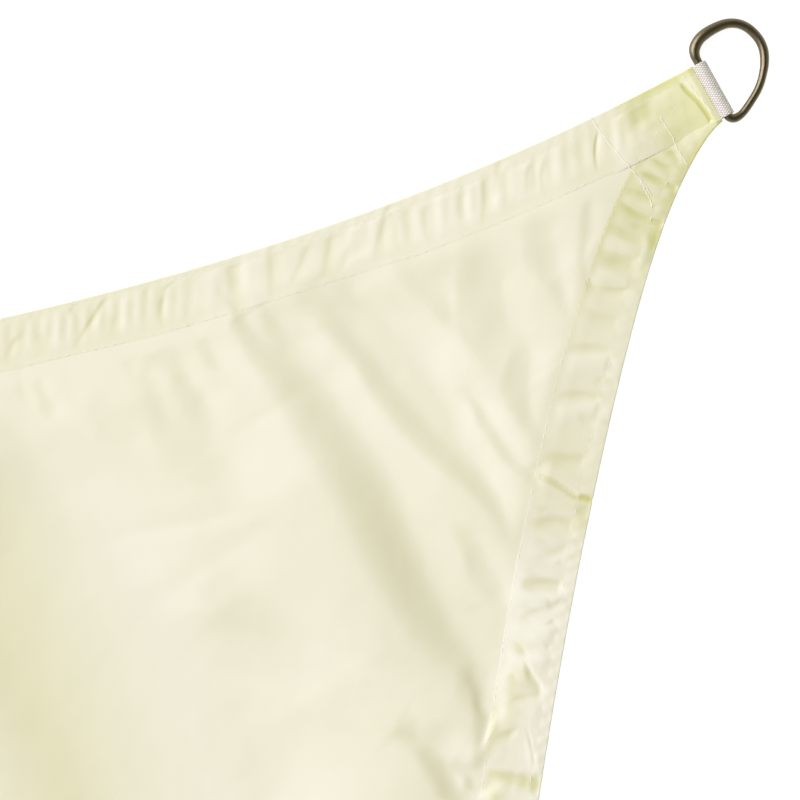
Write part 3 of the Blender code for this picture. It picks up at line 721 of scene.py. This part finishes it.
def hem_mesh(quarter):
    """The turned edge in section: in under the panel, round the rim's fold, back over the top to
    the inner stitches, and rolled under there. Rows follow the section, columns the edge."""
    along, draw = hem_stations(quarter)
    past_stitches = 0.0022
    width = sewn_rows(quarter, along)[1] + past_stitches
    under = np.array((38.5, 36, 33, 29, 22, 14, 8, 4, 2))[:, None] * MM
    under = np.minimum(under, width - 0.001)
    low = np.interp(under / MM, (20, 29, 33, 36, 38.5), (0.06, 0.12, 0.3, 0.6, 0.8)) * MM
    turn = np.radians(np.linspace(-72, 72, 7))[:, None]
    share = np.append(np.linspace(0, 0.9, 38), (0.925, 0.95, 0.97, 0.985, 0.995, 1))[:, None]
    last = width - 0.0006
    top = NOSE + (last - NOSE) * share
    rise, tone = hem_rise(quarter, along, top, *from_edge(along, top, quarter))
    floor = 0.00006
    half = 0.5 * (rise[:1] - floor)
    nose = NOSE - (np.minimum(half, NOSE) - draw) * np.cos(turn)
    roll = np.array(((0.03, 0.03), (0.04, 0.08), (0, 0.13), (-1, 0.2)))[:, :, None] * MM
    inset = np.vstack((under, nose, top, last + roll[:, 0]))
    level = np.vstack((low + draw, floor + half + (half - draw) * np.sin(turn), rise - draw,
                       rise[-1:] - roll[:, 1] - draw))
    x, y = from_edge(along, inset, quarter)
    places = np.stack((x, y, lie(x, y) + level), axis=-1)
    before, after = len(under) + len(turn), len(roll)
    # Painted shade and light on the hem, by how its slope turns from the lamp or towards it.
    tone = tone + SHADE_PAINTED_BY_SLOPE * np.maximum(turned_away(places[before:-after]), -0.12)
    tone = np.pad(tone, ((before, after), (0, 0)), mode="edge")
    return grid_mesh(f"hem_{quarter + 1}", places, flip=True, tone=tone)


hems = [add_piece(hem_mesh(quarter), cream_cloth) for quarter in range(4)]

# ---- Stitching ---------------------------------
# Cream polyester thread, sewn through all layers: a row along both sides of each hem, about 5.8 mm
# to a stitch. Two rows more cross each corner, left slack on top, the inner one ending in a fork.


def top_of(x, y):
    """Height of whichever hem lies uppermost at points on or near the hems."""
    height = np.full(np.shape(x), 0.0009)
    for quarter in range(4):
        along, inset = to_edge(x, y, quarter)
        rise, _ = hem_rise(quarter, along, np.maximum(inset, 0.001), x, y)
        width = sewn_rows(quarter, along)[1] + 0.002
        inside = (inset < width) & (inset > -0.002) & (along > 0) & (along < EDGE_LENGTH)
        height = np.where(inside, np.maximum(height, rise), height)
    return lie(x, y) + height


def hem_stitches(quarter):
    """Points of all the stitches on a hem, stitches x sections x corners x 3. A stitch is a bead of
    four square sections, up to 0.18 mm in radius, that dips into the cloth at both ends."""
    middle = STITCH_PITCH * (np.arange(2, int(EDGE_LENGTH / STITCH_PITCH) - 1) + 0.5)
    chance = np.random.default_rng(21 + quarter)
    rows = []
    for inset in sewn_rows(quarter, middle):
        along = middle[:, None] + np.array((-2.2, -1.2, 1.2, 2.2)) * MM
        x, y = from_edge(along, inset[:, None], quarter)
        side_x, side_y = from_edge(along, inset[:, None] + 0.0001, quarter)
        sunk = chance.uniform(-0.1, 0.04, len(middle))[:, None]
        z = top_of(x, y) + (np.array((-0.2, -0.04, -0.04, -0.2)) + sunk) * MM
        thick = np.array((1.2, 1.8, 1.8, 1.2))
        across = np.stack(((side_x - x) * thick, (side_y - y) * thick, 0 * z), axis=-1)
        up = 0.0001 * thick[:, None] * (0, 0, 1)
        spot = np.stack((x, y, z), axis=-1)
        rows.append(np.stack((spot + across, spot + up, spot - across, spot - up), axis=2))
    return np.concatenate(rows)


def bead_mesh(name, beads):
    """One mesh of many short closed tubes, from beads x sections x 4 corners x 3."""
    count, sections = beads.shape[:2]
    a = np.arange(4)
    b = (a + 1) % 4
    side = np.stack((a, b, b + 4, a + 4), axis=1)
    faces = [side + 4 * step for step in range(sections - 1)]
    last = 4 * (sections - 1)
    faces += [np.array(((3, 2, 1, 0), (last, last + 1, last + 2, last + 3)))]
    faces = np.vstack(faces)[None] + 4 * sections * np.arange(count)[:, None, None]
    return make_mesh(name, beads, faces.reshape(-1, 4))


def thread_look(add):
    """Pale polyester thread with the twist of its plies as a bump."""
    place = add("TexCoord", "Object", {})
    uneven = noise(add, place, 160, 1)
    twist = add("TexWave", "Fac", {"Vector": place, "Scale": 700}, bands_direction="DIAGONAL")
    return {
        "Base Color": mix_colours(add, uneven, (0.82, 0.8, 0.7), (0.91, 0.89, 0.82)),
        "Normal": bump(add, twist, 0.4, 0.0001),
        "Roughness": 0.5,
    }


cream_thread = make_material("cream_thread", thread_look)
stitches = [add_piece(bead_mesh(f"stitches_{quarter + 1}", hem_stitches(quarter)), cream_thread)
            for quarter in range(4)]

# The rows that cross a corner, in millimetres from the middle of the neck: three slack ones, and
# a tight one that closes the neck over the webbing.
CORNER_ROWS = (
    ((-72.5, -10.5), (-70, -15.6), (-60.5, -29.2), (-50.5, -41.9), (-45, -48.8), (-39.6, -55.6),
     (-36, -62.4)),
    ((-43.2, -51.7), (-40.6, -56.6), (-38.8, -60.4), (-37, -64.5), (-36.2, -69.1)),
    ((-29.5, -12.3), (-25.9, -19), (-21.9, -25.9), (-19.7, -32.1), (-16.1, -38.4), (-13.5, -43.7)),
    ((-15.6, 12), (-11.5, 6.5), (-7, 0.2), (-2, -6.2), (2.5, -11.9)),
)


def corner_rows(quarter):
    """The rows that cross a corner as one mesh of thin tubes, which waver by 0.25 mm. A tube is
    path + radius * (cos a * across + sin a * up), one row of points for each of its six sides."""
    places, quads = [], []
    a = np.linspace(0, 2 * np.pi, 6, endpoint=False)[:, None, None]
    for number, points in enumerate(CORNER_ROWS):
        line = smooth_path(points, 10) * MM + CORNER
        way = unit(np.gradient(line, axis=0))
        step = np.arange(len(line))
        line = line + 0.00025 * np.sin(0.9 * step + number)[:, None] * way[:, ::-1] * (-1, 1)
        x, y = turned(*line.T, quarter)
        way_x, way_y = turned(*way.T, quarter)
        z = top_of(x, y) + 0.00004 + 0.00008 * np.sin(0.7 * step)
        ends = np.minimum(step, len(line) - 1 - step)[:, None]
        radius = 0.00029 * np.minimum(1, 0.2 + 0.5 * ends)
        across = np.stack((-way_y, way_x, 0 * x), axis=1)
        ring = np.stack((x, y, z), axis=1) + radius * (np.cos(a) * across + np.sin(a) * (0, 0, 1))
        quads.append(grid_quads(6, len(line), wrap=True) + sum(map(len, places)))
        places.append(ring.reshape(-1, 3))
    return make_mesh(f"corner_rows_{quarter + 1}", np.vstack(places), np.vstack(quads))


slack_rows = [add_piece(corner_rows(quarter), cream_thread) for quarter in range(4)]

# ---- Webbing loops -----------------------------
# 38 mm white polyester webbing, folded round the bar of the ring at each corner. Its two legs go
# into the neck between the turned ends of the cloth and are sewn in there, out of sight.
WEB_SPAN = (-0.019, 0.0179)  # from selvedge to selvedge, crowded by the ring's foot
WIRE = 0.006
BAR_OUT = 0.0045            # the bar's middle, out from the neck's face
BAR_UP = 0.0045
STRAP = 0.0012


def neck_place(quarter, along, out, up):
    """Places from distances along a neck, out from its face and up."""
    x, y = turned(CORNER + along * NECK_SIN + out * NECK_COS,
                  CORNER - along * NECK_COS + out * NECK_SIN, quarter)
    return np.stack(np.broadcast_arrays(x, y, up), axis=-1)


def strap_path(steps):
    """The strap's middle line in side view: in from the lower leg's end, round the bar, and back
    along the upper leg. The legs close up like a drop on their way into the neck."""
    radius = 0.5 * WIRE + 0.0003 + 0.5 * STRAP
    turns = np.radians(np.linspace(-112, 112, 19))
    loop = np.stack((BAR_OUT + radius * np.cos(turns), BAR_UP + radius * np.sin(turns)), axis=1)
    leg = np.array(((-5, 3.05), (-2.6, 3), (-0.6, 2.62), (1.2, 1.84))) * MM
    upper = np.array(((1.2, 7.1), (-0.6, 6), (-2.6, 4.9), (-5, 4.4))) * MM
    path = smooth_path(np.vstack((leg, loop, upper)), 16)
    arc = arc_lengths(*path.T)
    places = np.linspace(0, arc[-1], steps)
    return np.stack([np.interp(places, arc, values) for values in path.T], axis=1), places


def webbing_mesh(quarter):
    """The strap's section drawn out to its width. The outer skin rises in a woven pattern
    cos(2 pi w / 1.57 mm) cos(pi v / 1.35 mm), positive parts only, and the two selvedges close
    the section in a half circle. The inner skin is smooth and has every sixth step."""
    steps, columns = (150, 146) if quarter == 0 else (78, 88)
    line, places = strap_path(steps)
    normal = unit(np.gradient(line, axis=0))[:, ::-1] * (1, -1)
    across = np.linspace(*WEB_SPAN, columns)
    edge = np.clip(np.minimum(across - WEB_SPAN[0], WEB_SPAN[1] - across) / (0.5 * STRAP), 0, 1)
    thick = 0.5 * STRAP * np.sqrt(1 - (1 - edge)**2)
    wave = np.cos(2 * np.pi * across / 0.00157) * np.cos(np.pi * places[:, None] / 0.00135)
    raised = np.clip(wave, 0, 1)**0.7
    smooth = np.zeros_like(raised[::-6])
    offsets = np.vstack((thick - 0.00016 + 0.0003 * raised * edge, smooth - thick))
    line, normal = (np.vstack((values, values[::-6])) for values in (line, normal))
    out = line[:, :1] + normal[:, :1] * offsets
    up = np.maximum(line[:, 1:] + normal[:, 1:] * offsets, 0.00005)
    spots = neck_place(quarter, across, out, up)
    raised = np.vstack((raised, smooth))
    return grid_mesh(f"webbing_loop_{quarter + 1}", spots, flip=True, wrap=True, raised=raised)


def webbing_look(add):
    """White yarn. The raised floats of the weave are bright, and the gaps between them are greyer
    and slightly pink with painted shade. Single fibres show as a fine bump."""
    raised = add("Attribute", "Fac", {}, attribute_name="raised")
    place = add("TexCoord", "Object", {})
    return {
        "Base Color": mix_colours(add, raised, (0.52, 0.48, 0.46), (0.96, 0.94, 0.94)),
        "Normal": bump(add, noise(add, place, 2600, 1), 0.5, 0.0001),
        "Roughness": 0.55, "Sheen Weight": 0.15,
    }


white_webbing = make_material("white_webbing", webbing_look)
webbings = [add_piece(webbing_mesh(quarter), white_webbing,
                      [f"webbing_{quarter + 1}"]) for quarter in range(4)]

# ---- D-rings -----------------------------------
# 6 mm steel wire, bent into a D and welded at the bar. Its dull dark olive-brown colour is painted
# reflection of dark brownish surroundings. The bow leans to one side and its lower foot is tight.
# It hangs in the webbing loop.
RING_BOW = (
    # along the neck, out from the bar
    (17.6, 0), (19.7, 0.7), (21.2, 2.7), (21.5, 5.7), (20.9, 8.8), (19.6, 12), (17.2, 16.8),
    (13.8, 22.8), (10.1, 27.6), (5.8, 31.8), (0.6, 35.8), (-6.4, 39.2), (-13.6, 40.1),
    (-20.8, 38.6), (-26.2, 35.8), (-30, 31.8), (-32.5, 26.4), (-33.4, 19.4), (-33.1, 12.4),
    (-31.7, 7), (-28.6, 2.5), (-24.6, 0.4), (-20.5, 0),
)


def ring_mesh(quarter):
    """A tube round the bow and the bar. It is 9 mm high at the bar, where the webbing lifts it,
    and its bow lies down on the floor. The wire is up to 0.12 mm out of round along its length."""
    bow = np.array(RING_BOW)
    path = smooth_path(np.vstack((bow[0] + (-6, 0), bow, bow[-1] + (6, 0))), 8)[8:-8]
    bar = np.linspace(bow[-1], bow[0], 14)[1:-1]
    line = np.vstack((path, bar, path[:1])) * MM
    way = np.roll(line, -1, axis=0) - np.roll(line, 1, axis=0)
    way[0] = way[-1] = line[1] - line[-2]
    way = unit(way)
    up = BAR_UP + (0.5 * WIRE - BAR_UP) * line[:, 1] / line[:, 1].max()
    share = np.linspace(0, 1, len(line))
    radius = 0.5 * WIRE * np.interp(share, (0, 0.1, 0.16, 0.36, 0.46, 0.66, 0.76, 0.84, 0.92, 1),
                                    (0.88, 0.9, 0.84, 0.84, 0.98, 1, 1.2, 1.2, 0.92, 0.88))
    uneven = 0.00003 * (1 + np.sin(44 * share) * np.sin(13 * share))
    radius = np.minimum(radius - uneven, up - 0.00005)
    a = np.linspace(0, 2 * np.pi, 28, endpoint=False)[:, None]
    along = line[:, 0] - radius * np.cos(a) * way[:, 1]
    out = BAR_OUT + line[:, 1] + radius * np.cos(a) * way[:, 0]
    spots = neck_place(quarter, along, out, up + radius * np.sin(a))
    around, lengthwise = np.broadcast_arrays(a / (2 * np.pi), share)
    return grid_mesh(f"d_ring_{quarter + 1}", spots, wrap=True,
                     around=around, lengthwise=lengthwise)


def ring_look(add):
    """Dull steel. Its olive-brown base colour, varied cloudily, is painted reflection of dark
    brownish surroundings, and fine drawing lines run along the wire as a bump."""
    place = add("TexCoord", "Object", {})
    cloud = noise(add, place, 120, 4, 0.6)
    around, lengthwise = (add("Attribute", "Fac", {}, attribute_name=name)
                          for name in ("around", "lengthwise"))
    drawn = add("CombineXYZ", 0, {"X": around, "Y": lengthwise})
    drawn = add("Mapping", 0, {"Vector": drawn, "Scale": (60, 9, 1)})
    return {
        "Base Color": mix_colours(add, cloud, (0.125, 0.102, 0.06), (0.21, 0.182, 0.125)),
        "Normal": bump(add, noise(add, drawn, 1, 2), 0.25, 0.0002),
        "Roughness": add("MapRange", 0, {"Value": cloud, "To Min": 0.26, "To Max": 0.38}),
        "Metallic": 1,
    }


ring_steel = make_material("ring_steel", ring_look)
rings = [add_piece(ring_mesh(quarter), ring_steel, [f"ring_{quarter + 1}"])
         for quarter in range(4)]

# ---- Floor, light and camera -------------------
# A plain white light table, one large soft lamp low on the left, and a pale room that is darker
# overhead. The camera looks straight down on the (+X, +Y) corner, turned by two degrees.
floor_corners = 30 * np.array(((-1, -1, 0), (1, -1, 0), (1, 1, 0), (-1, 1, 0))) - (0, 0, 0.0004)
floor_mesh = make_mesh("floor", floor_corners, [(0, 1, 2, 3)])
floor_mesh.materials.append(make_material("pale_floor", lambda add: {
    "Base Color": (0.3, 0.3, 0.3, 1), "Roughness": 0.9, "Specular IOR Level": 0.1,
    "Emission Color": (1, 1, 1, 1), "Emission Strength": 0.9,
}))
put("floor", floor_mesh)

lamp = bpy.data.lights.new("soft_lamp", "SUN")
lamp.energy = 2.9
lamp.angle = math.radians(56)
lamp.color = (1, 1, 1.08)
put("soft_lamp", lamp).rotation_euler = (0, math.radians(-48), math.radians(-24))

# The room: a ramp of colours over the direction's height, brighter towards (-0.30, 0.22).
room = bpy.data.worlds.new("room")
bpy.context.scene.world = room
add, fill = node_tools(room)
direction = add("TexCoord", "Generated", {})
height = add("SeparateXYZ", "Z", {0: direction})
overhead = add("ValToRGB", "Color", {0: height})
ramp = overhead.node.color_ramp.elements
ramp[0].position, ramp[0].color = 0.45, (0.8, 0.78, 0.6, 1)
ramp[1].position, ramp[1].color = 1, (0.1, 0.09, 0.07, 1)
ramp.new(0.8).color = (0.25, 0.24, 0.19, 1)
side = add("VectorMath", "Value", {0: direction, 1: (-0.3, 0.22, 0)}, operation="DOT_PRODUCT")
strength = add("Math", 0, {0: side, 1: 1.05}, operation="ADD")
fill(room.node_tree.nodes["Background"], {"Color": overhead, "Strength": strength})

camera = put("camera", bpy.data.cameras.new("camera"))
camera.data.lens = 108.9
camera.location = (0.7716, 0.7856, 1.5)
camera.rotation_euler = (0, 0, math.radians(-2))
bpy.context.scene.camera = camera
bpy.context.scene.view_settings.view_transform = "Standard"
